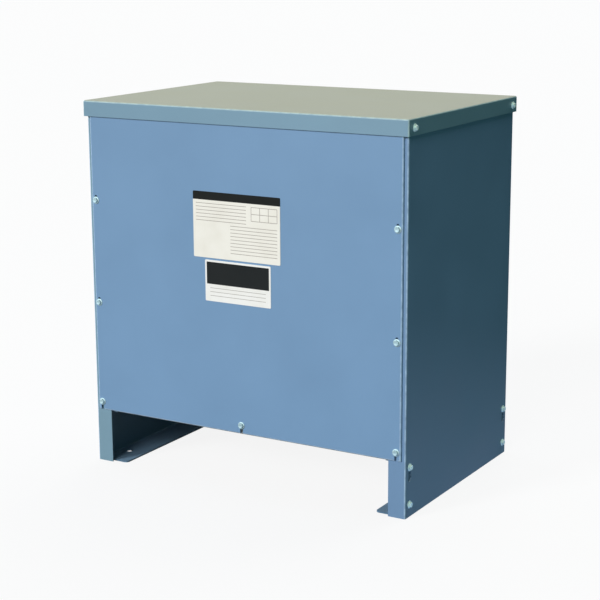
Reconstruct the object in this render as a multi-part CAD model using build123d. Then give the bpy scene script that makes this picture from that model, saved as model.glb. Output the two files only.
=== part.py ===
"""Floor-standing dry-type power transformer in a folded sheet-steel enclosure with an open underside.

Millimetres. +Z is up and the front panel faces -Y. The origin is on the floor, under the centre of the cover.
"""
import os

from build123d import *

# Enclosure as a whole
cover_width = 762.0
cover_depth = 508.0
overall_height = 788.0
sheet = 2.0                   # gauge of the painted sheet
sheet_bend = 1.5              # inner bend radius of the painted sheet
slide_fit = 0.5               # room between sheets that slide past each other
overrun = 5.0                 # how far every cut runs past the face that it opens

# Top cover
lip_height = 33.0
side_overhang = 4.5           # lip beyond the side panels
end_overhang = 8.5            # lip beyond the flanges of the side panels, front and rear
cover_screw_inset = 23.5      # from the ends of the cover
cover_screw_drop = 18.0       # from the top of the cover

# Front and rear panels
panel_margin = 8.5            # strip of side flange that shows beside the panel
panel_depth = 4.5             # of the pan, from its seat on the flanges to its face
panel_bottom = 118.0
panel_tuck = 12.0             # behind the lip of the cover
panel_screw_rise = 18.0       # lowest screws, from the foot of the panel
panel_screw_pitch = 221.0
panel_screw_rows = 3
slot_rise = 7.5               # centre of a slot's upper end, above its screw

# Base channels with the foot flanges
base_gauge = 3.0
base_bend = 3.0
base_drop = 3.0               # top of the channels, below the foot of the panels
base_setback = 8.5            # behind the flange planes of the side panels
foot_reach = 68.5             # foot flange, from the back of the channel
base_top_reach = 46.0
foot_corner = 8.0
anchor_inset_x = 26.5         # anchor holes, from the back of the channel
anchor_inset_y = 65.0         # anchor holes, from the ends of the channel
anchor_hole_diameter = 14.0

# Side panels
side_flange = 38.0
side_top_flange = 22.0
top_flange_relief = 6.0       # notch where the top flange meets the front and rear flanges
side_screw_inset = 17.7       # from the flange planes
side_screw_low = 26.0
side_screw_drop = 12.0        # upper side screws, from the top of the base channel
keyhole_drop = 22.0           # centre of the keyhole's wide end, below the upper side screw
keyhole_head_diameter = 15.0
keyhole_slot_width = 9.0

# Holes of the screws that hold the sheets. The screws cut their own way into the sheet behind.
screw_hole_diameter = 7.0

# Cross rails behind the panels
rail_height = 40.0
rail_reach = 30.0

# Channels that carry the core
support_gauge = 3.0
support_bend = 3.0
support_height = 42.0
support_reach = 40.0

# Rubber isolators
isolator_length = 60.0
isolator_width = 34.0
isolator_height = 12.0
isolator_inset = 98.0         # from the ends of the core clamps to the middle of the pad

# Core
leg_width = 90.0
stack_depth = 110.0
window_width = 118.0
core_headroom = 112.0         # between the upper yoke and the cover

# Core clamps
clamp_gauge = 4.0
clamp_bend = 4.0
clamp_inset = 10.0            # clamp edge, from the edge of its yoke
clamp_reach = 44.0
clamp_overlength = 20.0       # past each end of the core

# Windings, from the core leg outwards
coil_gap = 10.0               # between neighbouring coils
core_gap = 5.0
winding_duct = 10.0
inner_build_share = 0.5       # of the window that is left for both windings
winding_end_gap = 12.0        # between the windings and the yokes
winding_corner = 6.0          # bore corner of the inner winding
coil_block_width = 60.0
stick_width = 8.0             # upright sticks in the duct between the windings
stick_pitch = 30.0
sticks_per_side = 3

# Places that follow from the sizes above
body_half_width = cover_width / 2 - side_overhang
body_half_depth = cover_depth / 2 - end_overhang
flange_edge = body_half_width - side_flange
flange_centre = body_half_width - side_flange / 2
side_panel_top = overall_height - sheet
lip_bottom = overall_height - lip_height
cover_screw_y = cover_depth / 2 - cover_screw_inset
cover_screw_z = overall_height - cover_screw_drop
panel_half_width = body_half_width - panel_margin
panel_face = -body_half_depth - panel_depth
panel_top = lip_bottom + panel_tuck
panel_screw_bottom = panel_bottom + panel_screw_rise
panel_screw_heights = [panel_screw_bottom + row * panel_screw_pitch for row in range(panel_screw_rows)]
base_height = panel_bottom - base_drop
base_back = body_half_width - sheet
base_length = 2 * (body_half_depth - base_setback)
side_screw_y = body_half_depth - side_screw_inset
side_screw_high = base_height - side_screw_drop
rail_length = 2 * (base_back - sheet_bend - slide_fit)
support_length = 2 * (base_back - base_gauge - slide_fit)
core_half_depth = stack_depth / 2
support_back = core_half_depth + clamp_reach
support_top = base_height + support_height
core_bottom = support_top + isolator_height
core_top = overall_height - sheet - core_headroom
leg_bottom = core_bottom + leg_width
leg_top = core_top - leg_width
leg_pitch = leg_width + window_width
coil_half_width = (leg_pitch - coil_gap) / 2
core_length = 2 * leg_pitch + leg_width
clamp_length = core_length + 2 * clamp_overlength
clamp_height = leg_width - clamp_inset
isolator_place = clamp_length / 2 - isolator_inset
lower_clamp_top = core_bottom + clamp_height
upper_clamp_bottom = core_top - clamp_height
winding_bottom = leg_bottom + winding_end_gap
winding_top = leg_top - winding_end_gap
winding_height = winding_top - winding_bottom
both_builds = coil_half_width - leg_width / 2 - core_gap - winding_duct
inner_build = both_builds * inner_build_share
outer_build = both_builds - inner_build
outer_bore_gap = core_gap + inner_build + winding_duct


def block(low, high):
    """A box between two opposite corners."""
    size = Vector(*high) - Vector(*low)
    return Pos(*low) * Box(size.X, size.Y, size.Z, align=(Align.MIN, Align.MIN, Align.MIN))


def rod(diameter, length, at, axis):
    """A round cutter about the point at, along the axis X, Y or Z."""
    turns = {"X": Rot(0, 90, 0), "Y": Rot(90, 0, 0), "Z": Rot(0, 0, 0)}
    return Pos(*at) * turns[axis] * Cylinder(diameter / 2, length)


def channel(length, height, low_reach, high_reach, gauge, bend):
    """A folded channel along X. Its back is the plane y = 0, and its flanges turn towards +Y."""
    deepest = max(low_reach, high_reach)
    half_cut = length / 2 + overrun
    outer = block((-length / 2, 0, 0), (length / 2, deepest, height))
    outer = fillet(outer.edges().filter_by(Axis.X).group_by(Axis.Y)[0], gauge + bend)
    inner = block((-half_cut, gauge, gauge), (half_cut, deepest + overrun, height - gauge))
    inner = fillet(inner.edges().filter_by(Axis.X).group_by(Axis.Y)[0], bend)
    folded = outer - inner
    for reach, floor in ((low_reach, 0), (high_reach, height - gauge)):
        if reach < deepest:
            folded -= block((-half_cut, reach, floor), (half_cut, deepest + overrun, floor + gauge))
    return folded


def top_cover():
    """Pan with a lip turned down all round, round welded corners, and two screw holes in each side lip."""
    half_w = cover_width / 2
    half_d = cover_depth / 2
    outer = block((-half_w, -half_d, lip_bottom), (half_w, half_d, overall_height))
    outer = fillet(outer.edges().filter_by(Axis.Z) + outer.edges().group_by(Axis.Z)[-1], sheet + sheet_bend)
    inner = block(
        (sheet - half_w, sheet - half_d, lip_bottom - overrun),
        (half_w - sheet, half_d - sheet, overall_height - sheet),
    )
    inner = fillet(inner.edges().filter_by(Axis.Z) + inner.edges().group_by(Axis.Z)[-1], sheet_bend)
    cover = outer - inner
    for y in (-cover_screw_y, cover_screw_y):
        cover -= rod(screw_hole_diameter, cover_width + overrun, (0, y, cover_screw_z), "X")
    return cover


def top_fold(half_length, bottom):
    """The folded top of a side panel: the end of its web and the flange that carries the cover."""
    flange_tip = body_half_width - side_top_flange
    outer = block((flange_tip, -half_length, bottom), (body_half_width, half_length, side_panel_top))
    outer_edges = outer.edges().filter_by(Axis.Y).group_by(Axis.X)[-1]
    outer = fillet(outer_edges.sort_by(Axis.Z)[-1], sheet + sheet_bend)
    inner = block(
        (flange_tip - overrun, -half_length - overrun, bottom - overrun),
        (base_back, half_length + overrun, side_panel_top - sheet),
    )
    inner_edges = inner.edges().filter_by(Axis.Y).group_by(Axis.X)[-1]
    return outer - fillet(inner_edges.sort_by(Axis.Z)[-1], sheet_bend)


def side_panel_holes(y):
    """Cutters at one end of a side panel: a low screw hole and a keyhole."""
    wall = body_half_width
    keyhole_z = side_screw_high - keyhole_drop
    slot_half = keyhole_slot_width / 2
    return [
        rod(screw_hole_diameter, 2 * overrun, (wall, y, side_screw_low), "X"),
        rod(keyhole_slot_width, 2 * overrun, (wall, y, side_screw_high), "X"),
        block((wall - overrun, y - slot_half, keyhole_z), (wall + overrun, y + slot_half, side_screw_high)),
        rod(keyhole_head_diameter, 2 * overrun, (wall, y, keyhole_z), "X"),
    ]


def side_panel():
    """Right side panel: one sheet folded to flanges that reach the floor, and to a top flange."""
    inner_depth = body_half_depth - sheet
    fold_bottom = side_panel_top - top_flange_relief
    outer = block((flange_edge, -body_half_depth, 0), (body_half_width, body_half_depth, fold_bottom))
    outer = fillet(outer.edges().filter_by(Axis.Z).group_by(Axis.X)[-1], sheet + sheet_bend)
    inner = block(
        (flange_edge - overrun, -inner_depth, -overrun),
        (base_back, inner_depth, fold_bottom + overrun),
    )
    inner = fillet(inner.edges().filter_by(Axis.Z).group_by(Axis.X)[-1], sheet_bend)
    panel = outer - inner + top_fold(inner_depth - top_flange_relief, fold_bottom)
    for y in (-side_screw_y, side_screw_y):
        panel -= side_panel_holes(y)
    return panel


def wall_panel():
    """Front panel: a shallow pan with upright slots for its side screws and open notches at its foot."""
    half = panel_half_width
    seat = -body_half_depth
    outer = block((-half, panel_face, panel_bottom), (half, seat, panel_top))
    outer = fillet(outer.faces().sort_by(Axis.Y)[0].edges().sort_by(Axis.Z)[:-1], sheet + sheet_bend)
    inner = block(
        (sheet - half, panel_face + sheet, panel_bottom + sheet),
        (half - sheet, seat + overrun, panel_top + overrun),
    )
    inner = fillet(inner.faces().sort_by(Axis.Y)[0].edges().sort_by(Axis.Z)[:-1], sheet_bend)
    panel = outer - inner
    slot_half = screw_hole_diameter / 2
    for x in (-flange_centre, 0, flange_centre):
        panel -= rod(screw_hole_diameter, 2 * overrun, (x, panel_face, panel_screw_bottom), "Y")
        panel -= block(
            (x - slot_half, panel_face - overrun, panel_bottom - overrun),
            (x + slot_half, seat + overrun, panel_screw_bottom),
        )
    for x in (-flange_centre, flange_centre):
        for z in panel_screw_heights[1:]:
            panel -= rod(screw_hole_diameter, 2 * overrun, (x, panel_face, z), "Y")
            panel -= rod(screw_hole_diameter, 2 * overrun, (x, panel_face, z + slot_rise), "Y")
            panel -= block(
                (x - slot_half, panel_face - overrun, z),
                (x + slot_half, panel_face + overrun, z + slot_rise),
            )
    return panel


def base_channel():
    """Right base channel: its web lies inside the side panel, and its low flange is the foot."""
    folded = channel(base_length, base_height, foot_reach, base_top_reach, base_gauge, base_bend)
    foot_tip_edges = folded.edges().filter_by(Axis.Z).group_by(Axis.Z)[0]
    folded = fillet(foot_tip_edges, foot_corner)
    for end in (-1, 1):
        anchor_place = end * (base_length / 2 - anchor_inset_y)
        folded -= rod(anchor_hole_diameter, 2 * overrun, (anchor_place, anchor_inset_x, 0), "Z")
    return Pos(base_back, 0, 0) * Rot(0, 0, 90) * folded


def cross_rail():
    """Front rail behind the foot of the front panel, which takes the panel's middle screw."""
    rail = channel(rail_length, rail_height, rail_reach, rail_reach, sheet, sheet_bend)
    return Pos(0, sheet - body_half_depth, base_height) * rail


def core_support():
    """Front cross channel that carries the core on the base channels."""
    reach = support_reach
    folded = channel(support_length, support_height, reach, reach, support_gauge, support_bend)
    return Pos(0, -support_back, base_height) * folded


def isolator(x, y):
    """Rubber pad on a core support."""
    half_l = isolator_length / 2
    half_w = isolator_width / 2
    return block((x - half_l, y - half_w, support_top), (x + half_l, y + half_w, core_bottom))


def core_piece(x, width, low, high):
    """A stack of core sheets between two heights."""
    return block((x - width / 2, -core_half_depth, low), (x + width / 2, core_half_depth, high))


def core_clamp(bottom):
    """Front clamp channel: its back lies on the yoke, and its flanges turn away from it."""
    folded = channel(clamp_length, clamp_height, clamp_reach, clamp_reach, clamp_gauge, clamp_bend)
    return Pos(0, -core_half_depth, bottom) * Rot(0, 0, 180) * folded


def winding(x, bore_gap, build):
    """A winding round a core leg: a tube between two rounded rectangles."""
    bore_corner = winding_corner + bore_gap - core_gap
    grow = bore_gap + build
    bore = RectangleRounded(leg_width + 2 * bore_gap, stack_depth + 2 * bore_gap, bore_corner)
    outline = RectangleRounded(leg_width + 2 * grow, stack_depth + 2 * grow, bore_corner + build)
    return Pos(x, 0, winding_bottom) * extrude(outline - bore, winding_height)


def duct_sticks(x):
    """Upright sticks that hold the duct between the two windings of one leg open."""
    across = leg_width / 2 + outer_bore_gap - winding_duct / 2
    along = core_half_depth + outer_bore_gap - winding_duct / 2
    middle = (winding_bottom + winding_top) / 2
    sticks = []
    for step in range(sticks_per_side):
        place = (step - (sticks_per_side - 1) / 2) * stick_pitch
        for side in (-1, 1):
            long_side = Pos(x + place, side * along, middle)
            short_side = Pos(x + side * across, place, middle)
            sticks.append(long_side * Box(stick_width, winding_duct, winding_height))
            sticks.append(short_side * Box(winding_duct, stick_width, winding_height))
    return Compound(children=sticks)


def coil_blocks(x):
    """Four insulating blocks that hold the windings of one leg between the clamps."""
    half = coil_block_width / 2
    near = -core_half_depth - core_gap
    far = -core_half_depth - clamp_reach
    fronts = [
        block((x - half, far, lower_clamp_top), (x + half, near, winding_bottom)),
        block((x - half, far, winding_top), (x + half, near, upper_clamp_bottom)),
    ]
    rears = [mirror(front, Plane.XZ) for front in fronts]
    return Compound(children=fronts + rears)


def all_nodes():
    """Every piece of the transformer, by the name of its node."""
    nodes = {"top_cover": top_cover()}
    for name, right in (("side_panel", side_panel()), ("base_channel", base_channel())):
        nodes["right_" + name] = right
        nodes["left_" + name] = mirror(right, Plane.YZ)
    fronts = {
        "panel": wall_panel(),
        "rail": cross_rail(),
        "core_support": core_support(),
        "lower_clamp": core_clamp(core_bottom),
        "upper_clamp": core_clamp(upper_clamp_bottom),
    }
    for name, front in fronts.items():
        nodes["front_" + name] = front
        nodes["rear_" + name] = mirror(front, Plane.XZ)
    isolator_y = support_back - support_reach / 2
    for row, y in (("front", -isolator_y), ("rear", isolator_y)):
        for side, x in (("left", -isolator_place), ("right", isolator_place)):
            nodes[row + "_" + side + "_isolator"] = isolator(x, y)
    nodes["lower_yoke"] = core_piece(0, core_length, core_bottom, leg_bottom)
    nodes["upper_yoke"] = core_piece(0, core_length, leg_top, core_top)
    for side, x in (("left", -leg_pitch), ("centre", 0), ("right", leg_pitch)):
        nodes[side + "_core_leg"] = core_piece(x, leg_width, leg_bottom, leg_top)
        nodes[side + "_inner_winding"] = winding(x, core_gap, inner_build)
        nodes[side + "_outer_winding"] = winding(x, outer_bore_gap, outer_build)
        nodes[side + "_duct_sticks"] = duct_sticks(x)
        nodes[side + "_coil_blocks"] = coil_blocks(x)
    return nodes


os.makedirs("parts", exist_ok=True)
for node_name, solid in all_nodes().items():
    export_step(solid, "parts/" + node_name + ".step")
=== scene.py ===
"""Looks of a floor-standing dry-type power transformer: its finishes, screws, plates and studio.

Metres, in the frame of the CAD model: +Z is up and the front panel faces -Y.
"""
import math
import random

import bmesh
import bpy
from mathutils import Matrix, Vector


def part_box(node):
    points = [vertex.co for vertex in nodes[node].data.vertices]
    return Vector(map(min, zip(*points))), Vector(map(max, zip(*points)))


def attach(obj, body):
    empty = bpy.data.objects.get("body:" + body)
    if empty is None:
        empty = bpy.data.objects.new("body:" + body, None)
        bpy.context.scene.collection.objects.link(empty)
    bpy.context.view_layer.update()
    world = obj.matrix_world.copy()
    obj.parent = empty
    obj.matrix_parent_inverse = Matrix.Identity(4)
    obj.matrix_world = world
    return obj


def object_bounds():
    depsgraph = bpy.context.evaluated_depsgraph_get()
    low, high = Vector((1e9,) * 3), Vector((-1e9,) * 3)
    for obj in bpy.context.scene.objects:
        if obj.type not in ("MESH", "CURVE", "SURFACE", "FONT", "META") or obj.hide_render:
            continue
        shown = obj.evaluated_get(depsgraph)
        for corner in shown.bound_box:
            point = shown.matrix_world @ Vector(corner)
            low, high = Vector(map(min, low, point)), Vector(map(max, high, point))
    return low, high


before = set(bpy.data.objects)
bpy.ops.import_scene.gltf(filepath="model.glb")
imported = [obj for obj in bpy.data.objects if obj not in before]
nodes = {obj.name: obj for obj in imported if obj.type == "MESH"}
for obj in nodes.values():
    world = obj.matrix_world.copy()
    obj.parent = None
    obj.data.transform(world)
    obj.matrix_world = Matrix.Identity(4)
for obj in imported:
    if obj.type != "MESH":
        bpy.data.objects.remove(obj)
cad_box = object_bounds()
random.seed(7)

mm = 0.001

# Places on the enclosure, from the frame
panel_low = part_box("front_panel")[0]
rear_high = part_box("rear_panel")[1]
side_low, side_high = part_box("right_side_panel")
cover_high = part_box("top_cover")[1]
base_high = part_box("right_base_channel")[1]
floor_level = cad_box[0].z

# Hex washer-head screws
washer_radius = 7.8 * mm
washer_rim = 0.9 * mm
washer_top_radius = 6.0 * mm
washer_height = 1.7 * mm
hexagon_half_width = 5.0 * mm
hexagon_height = 4.7 * mm
head_height = 5.4 * mm
head_top_radius = 4.6 * mm
dish_rim_radius = 3.7 * mm
dish_radius = 1.6 * mm
dish_depth = 0.6 * mm
ring_points = 36

# Screws on the enclosure
flange_middle = (side_low.x + side_high.x) / 2
panel_screw_rise = 18 * mm
panel_screw_pitch = 221 * mm
panel_screw_rows = 3
side_screw_inset = 17.7 * mm
side_screw_low = 26 * mm
side_screw_drop = 12 * mm
cover_screw_inset = 23.5 * mm
cover_screw_drop = 18 * mm

# Plates on the front panel: the sizes are width and height, the middles are across and up
film_thickness = 0.8 * mm
film_corner = 2.5 * mm
film_edge = 0.25 * mm
corner_steps = 6
rating_size = (207 * mm, 136 * mm)
rating_middle = (-6 * mm, 550 * mm)
notice_size = (157 * mm, 86 * mm)
notice_middle = (-4 * mm, 435 * mm)
rule_width = 1.2 * mm             # a printed rule is half as wide, drawn wider so that it shows

# Edges of the screws and plates that bend by more than this stay sharp
crease_angle = math.radians(28)

# Camera, at the photograph's viewing angle
camera_place = (1.696, -2.877, 1.115)
camera_yaw = math.radians(30.61)
camera_pitch = math.radians(12.87)
camera_roll = math.radians(-0.284)
camera_lens = 94.95
camera_sensor = 36.0
camera_reach = 400.0

# Studio
card_width = 4.0
card_lead = 0.6                   # how far the card starts in front of the object's middle
card_back = 1.6                   # from the object's middle to where the card turns up
card_height = 2.6
card_fade = 1.3                   # from the object's middle to where the card is black
card_level = 1.0
floor_half = 150.0
floor_gap = 0.2 * mm
shadow_share = 0.12
ambient_level = 0.08
level_one = math.pi               # a sun of this strength shows a facing surface in its own colour

# Lamps: azimuth, elevation and spread in degrees, then level and colour
lamps = {
    "key_light": (-26, 21, 16, 0.74, "#FFFFFF"),
    "front_light": (3, 30, 24, 0.3, "#FFFFFF"),
    "high_rear_light": (180, 50, 50, 0.56, "#FFFFFF"),
    "left_rear_light": (250, 10, 40, 0.55, "#DEEEFF"),
    "right_light": (97, 3, 60, 0.13, "#48FFD0"),
}

# Colour sockets of a Mix node, which share their names with others and so go by number
mix_share = 0
mix_from = 6
mix_to = 7
mix_result = 2

# Length of one wave of a Wave texture at scale 1
wave_at_one = math.pi / 10


def linear(hex_colour):
    """An sRGB hex colour as linear red, green, blue and alpha."""
    parts = [int(hex_colour[start:start + 2], 16) / 255 for start in (1, 3, 5)]
    return [p / 12.92 if p <= 0.04045 else ((p + 0.055) / 1.055) ** 2.4 for p in parts] + [1.0]


def add(tree, kind, sockets=None, **settings):
    """Adds a node. Sockets, by name or number, take a value or a link from another node's output."""
    node = tree.nodes.new("ShaderNode" + kind)
    for name, value in settings.items():
        setattr(node, name, value)
    for socket, value in (sockets or {}).items():
        if isinstance(value, bpy.types.NodeSocket):
            tree.links.new(value, node.inputs[socket])
        else:
            node.inputs[socket].default_value = value
    return node


def start_material(name):
    """An empty node material and its tree."""
    material = bpy.data.materials.new(name)
    material.use_nodes = True
    material.node_tree.nodes.clear()
    return material, material.node_tree


def per_length(size):
    """The scale at which a pattern's features are that many metres across."""
    return 1 / size


def enamel(name, colour, worn_and_highlight, dust_and_top_light, dust_and_top_light_cover):
    """Baked alkyd enamel sprayed on folded sheet steel: an even satin coat with a faint orange peel.

    The sheet lies a little wavy under it. The coat is paler along the bends, partly thin-coat wear and
    partly a painted highlight; what faces up is mixed toward a dust colour, partly fine dust and partly
    painted light from above.
    """
    material, tree = start_material(name)
    place = add(tree, "TexCoord").outputs["Object"]
    cloud_size = 160 * mm
    wave_size = 260 * mm
    wave_depth = 0.4 * mm
    peel_size = 5 * mm            # real peel is 1 to 2 mm, drawn coarser so that it shows
    peel_depth = 0.08 * mm
    scuff_size = 14 * mm
    tone_change = 0.03            # share by which the clouds lighten and darken the coat
    dust_dulls = 0.75             # roughness that a full cover of dust adds
    cloud = add(tree, "TexNoise", {"Vector": place, "Scale": per_length(cloud_size), "Detail": 5.0})
    wave = add(tree, "TexNoise", {"Vector": place, "Scale": per_length(wave_size), "Detail": 1.0})
    peel = add(tree, "TexNoise", {"Vector": place, "Scale": per_length(peel_size), "Detail": 2.0})
    scuff = add(tree, "TexNoise", {"Vector": place, "Scale": per_length(scuff_size), "Detail": 6.0})

    # A bend is where the surface leaves all three axes
    normal = add(tree, "NewGeometry").outputs["Normal"]
    sides = add(tree, "VectorMath", {0: normal}, operation="ABSOLUTE")
    sides = add(tree, "SeparateXYZ", {0: sides.outputs[0]}).outputs
    flat = add(tree, "Math", {0: sides["X"], 1: sides["Y"]}, operation="MAXIMUM")
    flat = add(tree, "Math", {0: flat.outputs[0], 1: sides["Z"]}, operation="MAXIMUM")
    bend = add(tree, "MapRange", {"Value": flat.outputs[0], "From Min": 0.998, "From Max": 0.94})
    rubbed = add(tree, "MapRange", {
        "Value": scuff.outputs[0],
        "From Min": 0.35,
        "From Max": 0.62,
        "To Min": 0.5,
    })
    # The paler coat along the bends is partly thin-coat wear and partly a painted highlight
    wear_and_highlight = add(tree, "Math", {0: bend.outputs[0], 1: rubbed.outputs[0]}, operation="MULTIPLY")

    # What faces up is mixed toward the dust colour: partly settled dust, partly painted light from above
    up = add(tree, "SeparateXYZ", {0: normal}).outputs["Z"]
    dust_and_top_light_share = add(tree, "MapRange", {
        "Value": up,
        "From Min": 0.55,
        "From Max": 0.98,
        "To Max": dust_and_top_light_cover,
    })
    uneven = add(tree, "MapRange", {
        "Value": cloud.outputs[0],
        "From Min": 0.25,
        "From Max": 0.75,
        "To Min": 0.9,
    })
    dust_and_top_light_share = add(tree, "Math", {0: dust_and_top_light_share.outputs[0], 1: uneven.outputs[0]}, operation="MULTIPLY")

    # The coat, paler at its bends from wear and a painted highlight, and under its dust and painted top
    # light
    tone = add(tree, "MapRange", {
        "Value": cloud.outputs[0],
        "From Min": 0.3,
        "From Max": 0.7,
        "To Min": 1 - tone_change,
        "To Max": 1 + tone_change,
    })
    coat = add(tree, "HueSaturation", {"Color": linear(colour), "Value": tone.outputs[0]})
    coat = add(tree, "Mix", {
        mix_share: wear_and_highlight.outputs[0],
        mix_from: coat.outputs[0],
        mix_to: linear(worn_and_highlight),
    }, data_type="RGBA")
    coat = add(tree, "Mix", {
        mix_share: dust_and_top_light_share.outputs[0],
        mix_from: coat.outputs[mix_result],
        mix_to: linear(dust_and_top_light),
    }, data_type="RGBA")

    # Its gloss, which the dust dulls, and its relief
    sheen = add(tree, "MapRange", {
        "Value": cloud.outputs[0],
        "From Min": 0.3,
        "From Max": 0.7,
        "To Min": 0.4,
        "To Max": 0.5,
    })
    sheen = add(tree, "Math", {
        0: dust_and_top_light_share.outputs[0],
        1: dust_dulls,
        2: sheen.outputs[0],
    }, operation="MULTIPLY_ADD")
    wavy = add(tree, "Bump", {"Height": wave.outputs[0], "Strength": 0.5, "Distance": wave_depth})
    bumpy = add(tree, "Bump", {
        "Height": peel.outputs[0],
        "Strength": 0.25,
        "Distance": peel_depth,
        "Normal": wavy.outputs[0],
    })
    surface = add(tree, "BsdfPrincipled", {
        "Base Color": coat.outputs[mix_result],
        "Roughness": sheen.outputs[0],
        "IOR": 1.45,
        "Normal": bumpy.outputs[0],
    })
    add(tree, "OutputMaterial", {"Surface": surface.outputs[0]})
    return material


def galvanised_steel():
    """Hot-dip galvanised sheet: grey metal in spangles, each with its own dull or bright tone."""
    material, tree = start_material("galvanised_sheet_steel_folded")
    place = add(tree, "TexCoord").outputs["Object"]
    spangle_size = 14 * mm
    grain_size = 1.5 * mm
    grain_depth = 0.05 * mm
    spangle = add(tree, "TexVoronoi", {"Vector": place, "Scale": per_length(spangle_size)})
    grain = add(tree, "TexNoise", {"Vector": place, "Scale": per_length(grain_size), "Detail": 3.0})
    shade = add(tree, "SeparateColor", {0: spangle.outputs["Color"]}).outputs[0]
    tone = add(tree, "Mix", {
        mix_share: shade,
        mix_from: linear("#A3AAAE"),
        mix_to: linear("#B9BFC2"),
    }, data_type="RGBA")
    dull = add(tree, "MapRange", {"Value": shade, "To Min": 0.38, "To Max": 0.56})
    bumpy = add(tree, "Bump", {"Height": grain.outputs[0], "Strength": 0.2, "Distance": grain_depth})
    surface = add(tree, "BsdfPrincipled", {
        "Base Color": tone.outputs[mix_result],
        "Metallic": 1.0,
        "Roughness": dull.outputs[0],
        "Normal": bumpy.outputs[0],
    })
    add(tree, "OutputMaterial", {"Surface": surface.outputs[0]})
    return material


def laminated_core():
    """Silicon steel sheets, stacked and varnished: dark, fine edges in rows under a thin gloss."""
    material, tree = start_material("silicon_steel_stacked_and_varnished")
    place = add(tree, "TexCoord").outputs["Object"]
    sheet_pitch = 3 * mm          # real sheets are 0.35 mm, drawn coarser so that they show
    sheet_depth = 0.15 * mm
    run_size = 40 * mm
    edges = add(tree, "TexWave", {
        "Vector": place,
        "Scale": wave_at_one / sheet_pitch,
        "Distortion": 0.4,
    }, bands_direction="Y")
    runs = add(tree, "TexNoise", {"Vector": place, "Scale": per_length(run_size), "Detail": 4.0})
    tone = add(tree, "Mix", {
        mix_share: runs.outputs[0],
        mix_from: linear("#4A4744"),
        mix_to: linear("#7A736A"),
    }, data_type="RGBA")
    gloss = add(tree, "MapRange", {"Value": runs.outputs[0], "To Min": 0.25, "To Max": 0.5})
    bumpy = add(tree, "Bump", {"Height": edges.outputs["Fac"], "Strength": 0.5, "Distance": sheet_depth})
    surface = add(tree, "BsdfPrincipled", {
        "Base Color": tone.outputs[mix_result],
        "Metallic": 1.0,
        "Roughness": gloss.outputs[0],
        "Normal": bumpy.outputs[0],
    })
    add(tree, "OutputMaterial", {"Surface": surface.outputs[0]})
    return material


def taped_winding(name, light, dark, tape_width):
    """Aluminium conductor wrapped in paper tape and dipped in varnish: amber bands with soft laps."""
    material, tree = start_material(name)
    place = add(tree, "TexCoord").outputs["Object"]
    lap_depth = 0.4 * mm
    run_size = 35 * mm
    laps = add(tree, "TexWave", {
        "Vector": place,
        "Scale": wave_at_one / tape_width,
        "Distortion": 0.6,
    }, bands_direction="Z", wave_profile="SAW")
    runs = add(tree, "TexNoise", {"Vector": place, "Scale": per_length(run_size), "Detail": 5.0})
    mixed = add(tree, "Math", {0: laps.outputs["Fac"], 1: runs.outputs[0]}, operation="MULTIPLY")
    tone = add(tree, "Mix", {
        mix_share: mixed.outputs[0],
        mix_from: linear(dark),
        mix_to: linear(light),
    }, data_type="RGBA")
    gloss = add(tree, "MapRange", {"Value": runs.outputs[0], "To Min": 0.22, "To Max": 0.45})
    bumpy = add(tree, "Bump", {"Height": laps.outputs["Fac"], "Strength": 0.6, "Distance": lap_depth})
    surface = add(tree, "BsdfPrincipled", {
        "Base Color": tone.outputs[mix_result],
        "Roughness": gloss.outputs[0],
        "IOR": 1.52,
        "Normal": bumpy.outputs[0],
    })
    add(tree, "OutputMaterial", {"Surface": surface.outputs[0]})
    return material


def glass_polyester():
    """Pressed glass-mat polyester board: brick red, with pale fibres at its sawn faces."""
    material, tree = start_material("glass_polyester_board_sawn")
    place = add(tree, "TexCoord").outputs["Object"]
    fibre_size = 3 * mm
    fibre_depth = 0.1 * mm
    patch_size = 25 * mm
    fibres = add(tree, "TexNoise", {
        "Vector": place,
        "Scale": per_length(fibre_size),
        "Detail": 6.0,
        "Roughness": 0.7,
    })
    patches = add(tree, "TexNoise", {"Vector": place, "Scale": per_length(patch_size), "Detail": 2.0})
    pale = add(tree, "MapRange", {
        "Value": fibres.outputs[0],
        "From Min": 0.58,
        "From Max": 0.75,
        "To Max": 0.5,
    })
    tone = add(tree, "Mix", {
        mix_share: patches.outputs[0],
        mix_from: linear("#7E2C22"),
        mix_to: linear("#A24636"),
    }, data_type="RGBA")
    tone = add(tree, "Mix", {
        mix_share: pale.outputs[0],
        mix_from: tone.outputs[mix_result],
        mix_to: linear("#C98F7C"),
    }, data_type="RGBA")
    dull = add(tree, "MapRange", {"Value": patches.outputs[0], "To Min": 0.5, "To Max": 0.7})
    bumpy = add(tree, "Bump", {"Height": fibres.outputs[0], "Strength": 0.4, "Distance": fibre_depth})
    surface = add(tree, "BsdfPrincipled", {
        "Base Color": tone.outputs[mix_result],
        "Roughness": dull.outputs[0],
        "IOR": 1.55,
        "Normal": bumpy.outputs[0],
    })
    add(tree, "OutputMaterial", {"Surface": surface.outputs[0]})
    return material


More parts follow.
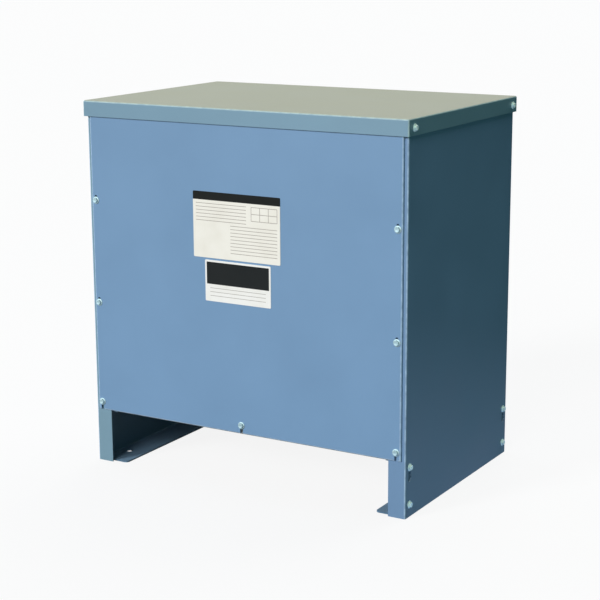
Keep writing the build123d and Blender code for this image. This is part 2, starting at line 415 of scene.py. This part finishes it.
def neoprene():
    """Moulded neoprene rubber: near black and matt, with a grey bloom in patches."""
    material, tree = start_material("neoprene_rubber_moulded")
    place = add(tree, "TexCoord").outputs["Object"]
    bloom_size = 18 * mm
    pit_size = 1.2 * mm
    pit_depth = 0.05 * mm
    bloom = add(tree, "TexNoise", {"Vector": place, "Scale": per_length(bloom_size), "Detail": 4.0})
    pits = add(tree, "TexNoise", {"Vector": place, "Scale": per_length(pit_size), "Detail": 2.0})
    tone = add(tree, "Mix", {
        mix_share: bloom.outputs[0],
        mix_from: linear("#1B1C1D"),
        mix_to: linear("#3A3B3C"),
    }, data_type="RGBA")
    dull = add(tree, "MapRange", {"Value": bloom.outputs[0], "To Min": 0.7, "To Max": 0.9})
    bumpy = add(tree, "Bump", {"Height": pits.outputs[0], "Strength": 0.3, "Distance": pit_depth})
    surface = add(tree, "BsdfPrincipled", {
        "Base Color": tone.outputs[mix_result],
        "Roughness": dull.outputs[0],
        "IOR": 1.52,
        "Normal": bumpy.outputs[0],
    })
    add(tree, "OutputMaterial", {"Surface": surface.outputs[0]})
    return material


def zinc_plate(name, pale, deep):
    """Steel screws, cold headed and zinc plated: silvery under a faint blue film, with dull scratches."""
    material, tree = start_material(name)
    place = add(tree, "TexCoord").outputs["Object"]
    film_size = 6 * mm
    scratch_size = 0.8 * mm
    scratch_depth = 0.03 * mm
    film = add(tree, "TexNoise", {"Vector": place, "Scale": per_length(film_size), "Detail": 3.0})
    scratch = add(tree, "TexNoise", {"Vector": place, "Scale": per_length(scratch_size), "Detail": 3.0})
    tone = add(tree, "Mix", {
        mix_share: film.outputs[0],
        mix_from: linear(pale),
        mix_to: linear(deep),
    }, data_type="RGBA")
    dull = add(tree, "MapRange", {"Value": scratch.outputs[0], "To Min": 0.55, "To Max": 0.75})
    bumpy = add(tree, "Bump", {"Height": scratch.outputs[0], "Strength": 0.2, "Distance": scratch_depth})
    surface = add(tree, "BsdfPrincipled", {
        "Base Color": tone.outputs[mix_result],
        "Metallic": 1.0,
        "Roughness": dull.outputs[0],
        "Normal": bumpy.outputs[0],
    })
    add(tree, "OutputMaterial", {"Surface": surface.outputs[0]})
    return material


def printed_film(name, middle, paper, marks):
    """Polyester film, screen printed and stuck on: pale satin with flat dark ink, and a little grime.

    A mark is a colour and a box of ink: its left, bottom, right and top from the middle of the film.
    """
    material, tree = start_material(name)
    place = add(tree, "TexCoord").outputs["Object"]
    axes = add(tree, "SeparateXYZ", {0: place}).outputs
    grime_size = 45 * mm
    grime_depth = 0.2 * mm
    grime = add(tree, "TexNoise", {"Vector": place, "Scale": per_length(grime_size), "Detail": 5.0})
    stain = add(tree, "MapRange", {
        "Value": grime.outputs[0],
        "From Min": 0.45,
        "From Max": 0.8,
        "To Max": 0.3,
    })
    colour = add(tree, "Mix", {
        mix_share: stain.outputs[0],
        mix_from: linear(paper),
        mix_to: linear("#D9D5C6"),
    }, data_type="RGBA")
    for ink, (left, bottom, right, top) in marks:
        across = {0: axes["X"], 1: middle[0] + (left + right) / 2, 2: (right - left) / 2}
        upward = {0: axes["Z"], 1: middle[1] + (bottom + top) / 2, 2: (top - bottom) / 2}
        across = add(tree, "Math", across, operation="COMPARE")
        upward = add(tree, "Math", upward, operation="COMPARE")
        inked = add(tree, "Math", {0: across.outputs[0], 1: upward.outputs[0]}, operation="MULTIPLY")
        colour = add(tree, "Mix", {
            mix_share: inked.outputs[0],
            mix_from: colour.outputs[mix_result],
            mix_to: linear(ink),
        }, data_type="RGBA")
    gloss = add(tree, "MapRange", {"Value": grime.outputs[0], "To Min": 0.32, "To Max": 0.5})
    bumpy = add(tree, "Bump", {"Height": grime.outputs[0], "Strength": 0.3, "Distance": grime_depth})
    surface = add(tree, "BsdfPrincipled", {
        "Base Color": colour.outputs[mix_result],
        "Roughness": gloss.outputs[0],
        "IOR": 1.5,
        "Specular IOR Level": 0.15,
        "Normal": bumpy.outputs[0],
    })
    add(tree, "OutputMaterial", {"Surface": surface.outputs[0]})
    return material


def ruled_lines(ink, left, right, heights):
    """Marks for a column of ruled lines."""
    half = rule_width / 2
    return [(ink, (left, height - half, right, height + half)) for height in heights]


def rating_marks():
    """A dark heading band, a column of blank ruled fields, and a small empty table."""
    half_w, half_h = rating_size[0] / 2, rating_size[1] / 2
    band_ink = "#0A0F0F"
    rule_ink = "#A9A29B"
    band_height = 17 * mm
    margin = 7 * mm
    row_pitch = 7 * mm
    upper_row_count = 6
    lower_row_count = 9
    lower_left = -14 * mm
    field_right = 24 * mm
    table_left = 36 * mm
    table_right = half_w - margin
    table_row_pitch = 2 * row_pitch
    table_row_count = 3
    table_columns = 3
    marks = [(band_ink, (-half_w, half_h - band_height, half_w, half_h))]
    top = half_h - band_height - row_pitch
    table_rows = [top - row * table_row_pitch for row in range(table_row_count)]
    upper_rows = [top - row * row_pitch for row in range(upper_row_count)]
    lower_rows = [upper_rows[-1] - (row + 1) * row_pitch for row in range(lower_row_count)]
    marks += ruled_lines(rule_ink, margin - half_w, field_right, upper_rows)
    marks += ruled_lines(rule_ink, table_left, table_right, table_rows)
    for column in range(table_columns + 1):
        x = table_left + column * (table_right - table_left) / table_columns
        marks.append((rule_ink, (x - rule_width / 2, table_rows[-1], x + rule_width / 2, table_rows[0])))
    marks += ruled_lines(rule_ink, lower_left, table_right, lower_rows)
    return marks


def notice_marks():
    """A dark heading block over blank ruled lines."""
    half_w, half_h = notice_size[0] / 2, notice_size[1] / 2
    heading_ink = "#14191B"
    rule_ink = "#B4B1AC"
    margin = 4 * mm
    heading_height = 46 * mm
    row_inset = 12 * mm
    row_pitch = 8 * mm
    row_count = 3
    heading_bottom = half_h - margin - heading_height
    marks = [(heading_ink, (margin - half_w, heading_bottom, half_w - margin, half_h - margin))]
    rows = [heading_bottom - (row + 1) * row_pitch for row in range(row_count)]
    return marks + ruled_lines(rule_ink, row_inset - half_w, half_w - row_inset, rows)


def loft(mesh, rings):
    """Skins a stack of closed rings of points, and caps both ends."""
    loops = [[mesh.verts.new(point) for point in ring] for ring in rings]
    for near, far in zip(loops, loops[1:]):
        for place in range(len(near)):
            after = (place + 1) % len(near)
            mesh.faces.new((near[place], near[after], far[after], far[place]))
    mesh.faces.new(loops[0][::-1])
    mesh.faces.new(loops[-1])


def finish_piece(name, mesh, material):
    """Makes an object of a bmesh, with crisp edges, on the one body of the part."""
    bmesh.ops.recalc_face_normals(mesh, faces=mesh.faces)
    data = bpy.data.meshes.new(name)
    mesh.to_mesh(data)
    mesh.free()
    data.polygons.foreach_set("use_smooth", [True] * len(data.polygons))
    data.set_sharp_from_angle(angle=crease_angle)
    data.materials.append(material)
    piece = bpy.data.objects.new(name, data)
    bpy.context.scene.collection.objects.link(piece)
    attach(piece, "root")


def round_ring(radius, height):
    """Points of a circle at a height."""
    turns = [2 * math.pi * step / ring_points for step in range(ring_points)]
    return [Vector((radius * math.cos(t), radius * math.sin(t), height)) for t in turns]


def hexagon_ring(half_width, height):
    """As many points on a hexagon, with one at each corner."""
    side = math.pi / 3
    points = []
    for step in range(ring_points):
        turn = 2 * math.pi * step / ring_points
        radius = half_width / math.cos(turn % side - side / 2)
        points.append(Vector((radius * math.cos(turn), radius * math.sin(turn), height)))
    return points


def add_screw(mesh, seat, outward):
    """A screw head on its seat: washer rim, coned washer, hexagon, chamfer and dished top."""
    rings = [
        round_ring(washer_radius, 0),
        round_ring(washer_radius, washer_rim),
        round_ring(washer_top_radius, washer_height),
        hexagon_ring(hexagon_half_width, washer_height),
        hexagon_ring(hexagon_half_width, hexagon_height),
        round_ring(head_top_radius, head_height),
        round_ring(dish_rim_radius, head_height),
        round_ring(dish_radius, head_height - dish_depth),
    ]
    turn = Matrix.Rotation(random.uniform(0, math.pi), 3, "Z")
    stand = Vector((0, 0, 1)).rotation_difference(Vector(outward)).to_matrix()
    loft(mesh, [[Vector(seat) + stand @ turn @ point for point in ring] for ring in rings])


def screw_row(name, seats, outward, zinc):
    """One piece with a screw on each seat."""
    mesh = bmesh.new()
    for seat in seats:
        add_screw(mesh, seat, outward)
    finish_piece(name, mesh, zinc)


def panel_screw_seats(face):
    """Seats on the front or rear panel: three at each side and one at the middle of its foot."""
    bottom = panel_low.z + panel_screw_rise
    seats = [(0, face, bottom)]
    for row in range(panel_screw_rows):
        for x in (-flange_middle, flange_middle):
            seats.append((x, face, bottom + row * panel_screw_pitch))
    return seats


def side_screw_seats(face):
    """Seats on a side panel: two into each end of the base channel."""
    y = side_high.y - side_screw_inset
    heights = (floor_level + side_screw_low, base_high.z - side_screw_drop)
    return [(face, end, z) for end in (-y, y) for z in heights]


def cover_screw_seats(face):
    """Seats on a side lip of the cover."""
    y = cover_high.y - cover_screw_inset
    return [(face, end, cover_high.z - cover_screw_drop) for end in (-y, y)]


def film_ring(size, middle, corner, face):
    """Points of a rectangle with round corners, on a plane that faces the front."""
    points = []
    half_w, half_h = size[0] / 2 - corner, size[1] / 2 - corner
    for quarter, (right, up) in enumerate(((1, 1), (-1, 1), (-1, -1), (1, -1))):
        for step in range(corner_steps + 1):
            turn = math.pi / 2 * (quarter + step / corner_steps)
            x = middle[0] + right * half_w + corner * math.cos(turn)
            z = middle[1] + up * half_h + corner * math.sin(turn)
            points.append((x, face, z))
    return points


def film_plate(name, size, middle, material):
    """A stuck-on film with round corners and a softened edge."""
    inner = (size[0] - 2 * film_edge, size[1] - 2 * film_edge)
    mesh = bmesh.new()
    loft(mesh, [
        film_ring(size, middle, film_corner, panel_low.y),
        film_ring(size, middle, film_corner, panel_low.y - film_thickness + film_edge),
        film_ring(inner, middle, film_corner - film_edge, panel_low.y - film_thickness),
    ])
    finish_piece(name, mesh, material)


def studio_paper():
    """Matt paper, rolled out: white to the eye and pale in reflections, with the shadow kept.

    It throws little light back at the object, and a view from below looks through it.
    """
    material, tree = start_material("matt_paper_rolled_out")
    material.cycles.emission_sampling = "NONE"
    rays = add(tree, "LightPath").outputs
    seen = add(tree, "Math", {
        0: rays["Is Camera Ray"],
        1: rays["Is Transmission Ray"],
    }, operation="MAXIMUM")
    below = add(tree, "NewGeometry").outputs["Backfacing"]
    paper = add(tree, "BsdfDiffuse", {"Color": linear("#E4E6E6")})
    white = add(tree, "Emission", {"Color": linear("#FFFFFF"), "Strength": 1.0})
    shown = add(tree, "MixShader", {0: shadow_share, 1: white.outputs[0], 2: paper.outputs[0]})
    bounce = add(tree, "BsdfDiffuse", {"Color": linear("#565C58")})
    mirrored = add(tree, "MixShader", {
        0: rays["Is Glossy Ray"],
        1: bounce.outputs[0],
        2: paper.outputs[0],
    })
    top = add(tree, "MixShader", {0: seen.outputs[0], 1: mirrored.outputs[0], 2: shown.outputs[0]})
    clear = add(tree, "BsdfTransparent")
    surface = add(tree, "MixShader", {0: below, 1: top.outputs[0], 2: clear.outputs[0]})
    add(tree, "OutputMaterial", {"Surface": surface.outputs[0]})
    return material


def lay_floor():
    """A wide paper floor just under the feet."""
    mesh = bmesh.new()
    bmesh.ops.create_grid(mesh, x_segments=1, y_segments=1, size=floor_half)
    data = bpy.data.meshes.new("floor")
    mesh.to_mesh(data)
    mesh.free()
    data.materials.append(studio_paper())
    floor = bpy.data.objects.new("floor", data)
    floor.location.z = floor_level - floor_gap
    bpy.context.scene.collection.objects.link(floor)


def graded_card():
    """A glowing card, blue grey in front and fading to black behind: a painted reflection that the right
    side mirrors.
    """
    material, tree = start_material("glowing_card_for_reflections")
    material.cycles.emission_sampling = "NONE"
    along = add(tree, "SeparateXYZ", {0: add(tree, "TexCoord").outputs["Object"]}).outputs["Y"]
    fade = add(tree, "MapRange", {
        "Value": along,
        "From Max": card_fade,
        "To Min": card_level,
        "To Max": 0.0,
    })
    card_glow = add(tree, "Emission", {"Color": linear("#B4C8F0"), "Strength": fade.outputs[0]})
    add(tree, "OutputMaterial", {"Surface": card_glow.outputs[0]})
    return material


def lay_card():
    """A card on the floor to the right, turned up at its far end, glowing blue grey near the object and
    black beyond: only reflections show it.
    """
    left = side_high.x
    right = left + card_width
    folds = ((-card_lead, floor_level), (card_back, floor_level), (card_back, card_height))
    data = bpy.data.meshes.new("card")
    corners = [(x, y, z) for y, z in folds for x in (left, right)]
    data.from_pydata(corners, [], [(0, 1, 3, 2), (2, 3, 5, 4)])
    data.materials.append(graded_card())
    card = bpy.data.objects.new("card", data)
    card.visible_camera = False
    card.visible_diffuse = False
    card.visible_shadow = False
    bpy.context.scene.collection.objects.link(card)


def light_world():
    """A dim even room that the eye sees as white, and reflections as a warm white."""
    world = bpy.data.worlds.new("studio")
    world.use_nodes = True
    world.cycles.sampling_method = "NONE"
    tree = world.node_tree
    tree.nodes.clear()
    rays = add(tree, "LightPath").outputs
    seen = add(tree, "Math", {
        0: rays["Is Camera Ray"],
        1: rays["Is Transmission Ray"],
    }, operation="MAXIMUM")
    room = add(tree, "Background", {"Color": linear("#EAF2FF"), "Strength": ambient_level})
    mirrored = add(tree, "Background", {"Color": linear("#FFEFD0"), "Strength": 1.0})
    white = add(tree, "Background", {"Color": linear("#FDFDFD"), "Strength": 1.0})
    inside = add(tree, "MixShader", {
        0: rays["Is Glossy Ray"],
        1: room.outputs[0],
        2: mirrored.outputs[0],
    })
    whole = add(tree, "MixShader", {0: seen.outputs[0], 1: inside.outputs[0], 2: white.outputs[0]})
    add(tree, "OutputWorld", {"Surface": whole.outputs[0]})
    bpy.context.scene.world = world


def hang_sun(name, azimuth, elevation, spread, level, colour):
    """A soft even light. Azimuth 0 comes from the front and 90 from the right, in degrees."""
    data = bpy.data.lights.new(name, "SUN")
    data.energy = level * level_one
    data.angle = math.radians(spread)
    data.color = linear(colour)[:3]
    lamp = bpy.data.objects.new(name, data)
    lean = Matrix.Rotation(math.radians(90 - elevation), 4, "X")
    lamp.matrix_world = Matrix.Rotation(math.radians(azimuth), 4, "Z") @ lean
    bpy.context.scene.collection.objects.link(lamp)


def set_camera():
    """The camera, where the photograph was taken from."""
    data = bpy.data.cameras.new("camera")
    data.lens = camera_lens
    data.sensor_width = camera_sensor
    data.clip_end = camera_reach
    camera = bpy.data.objects.new("camera", data)
    aim = Matrix.Rotation(camera_yaw, 4, "Z") @ Matrix.Rotation(math.pi / 2 - camera_pitch, 4, "X")
    roll = Matrix.Rotation(camera_roll, 4, "Z")
    camera.matrix_world = Matrix.Translation(camera_place) @ aim @ roll
    bpy.context.scene.collection.objects.link(camera)
    bpy.context.scene.camera = camera


# Finishes
# Paler colours along the bends: partly a thin, worn coat and partly a painted highlight
worn_and_highlight_blue = "#B4D0EC"
worn_and_highlight_grey = "#AAC6C8"
worn_base = "#6A8AA6"
# The sandy colour on what faces up is partly dust and partly painted warm light on the top
sandy_dust_and_top_light = "#B8AA78"
painted_light_blue_on_feet = "#94B8D6"
panel_paint = enamel("alkyd_enamel_sprayed_on_panels", "#7195B9", worn_and_highlight_blue, sandy_dust_and_top_light, 0.3)
left_paint = enamel("alkyd_enamel_sprayed_on_left_side", "#7596A8", worn_and_highlight_blue, sandy_dust_and_top_light, 0.2)
right_paint = enamel("alkyd_enamel_sprayed_on_right_side", "#6C8DB0", worn_and_highlight_blue, sandy_dust_and_top_light, 0.2)
# The base channels take a darker blue than the panels, a painted shade for the inside under the
# enclosure, and their upward faces a pale blue, a painted light
base_paint = enamel("alkyd_enamel_sprayed_on_base_channels", "#567690", worn_base, painted_light_blue_on_feet, 0.5)
cover_paint = enamel("alkyd_enamel_sprayed_on_cover", "#7597AC", worn_and_highlight_grey, sandy_dust_and_top_light, 0.56)
galvanised = galvanised_steel()
core_steel = laminated_core()
inner_wrap = taped_winding("paper_tape_varnished_inner", "#B07A3A", "#4A2E14", 24 * mm)
outer_wrap = taped_winding("paper_tape_varnished_outer", "#9A6A34", "#3E2612", 30 * mm)
board = glass_polyester()
rubber = neoprene()
dull_zinc = zinc_plate("zinc_plated_steel_dulled", "#A2BAC2", "#97B3C0")
# A lighter copy of the same zinc, a painted glint for the screws on the shaded right side
lighter_zinc_painted_glint = zinc_plate("zinc_plated_steel_painted_glint", "#C8E0DC", "#BCD8E0")
rating_film = printed_film("polyester_film_printed_rating", rating_middle, "#F3F1E8", rating_marks())
notice_film = printed_film("polyester_film_printed_notice", notice_middle, "#F5F5F2", notice_marks())

# Finish of each CAD node, by how its name ends: the first ending that fits is taken
finishes = {
    "top_cover": cover_paint,
    "left_side_panel": left_paint,
    "right_side_panel": right_paint,
    "_base_channel": base_paint,
    "_panel": panel_paint,
    "_rail": galvanised,
    "_core_support": galvanised,
    "_clamp": galvanised,
    "_yoke": core_steel,
    "_core_leg": core_steel,
    "_inner_winding": inner_wrap,
    "_outer_winding": outer_wrap,
    "_duct_sticks": board,
    "_coil_blocks": board,
    "_isolator": rubber,
}
for node_name, node in nodes.items():
    fitting = next(ending for ending in finishes if node_name.endswith(ending))
    node.data.materials.clear()
    node.data.materials.append(finishes[fitting])

# Screws and plates
screw_row("front_panel_screws", panel_screw_seats(panel_low.y), (0, -1, 0), dull_zinc)
screw_row("rear_panel_screws", panel_screw_seats(rear_high.y), (0, 1, 0), dull_zinc)
# The right side's screws take the lighter copy of the zinc, a painted glint
for side, sign, zinc in (("left", -1, dull_zinc), ("right", 1, lighter_zinc_painted_glint)):
    screw_row(side + "_side_screws", side_screw_seats(sign * side_high.x), (sign, 0, 0), zinc)
    screw_row(side + "_cover_screws", cover_screw_seats(sign * cover_high.x), (sign, 0, 0), zinc)
film_plate("rating_plate", rating_size, rating_middle, rating_film)
film_plate("notice_plate", notice_size, notice_middle, notice_film)

# Studio and camera
lay_floor()
lay_card()
light_world()
for lamp_name, lamp_settings in lamps.items():
    hang_sun(lamp_name, *lamp_settings)
set_camera()
bpy.context.scene.view_settings.view_transform = "Standard"
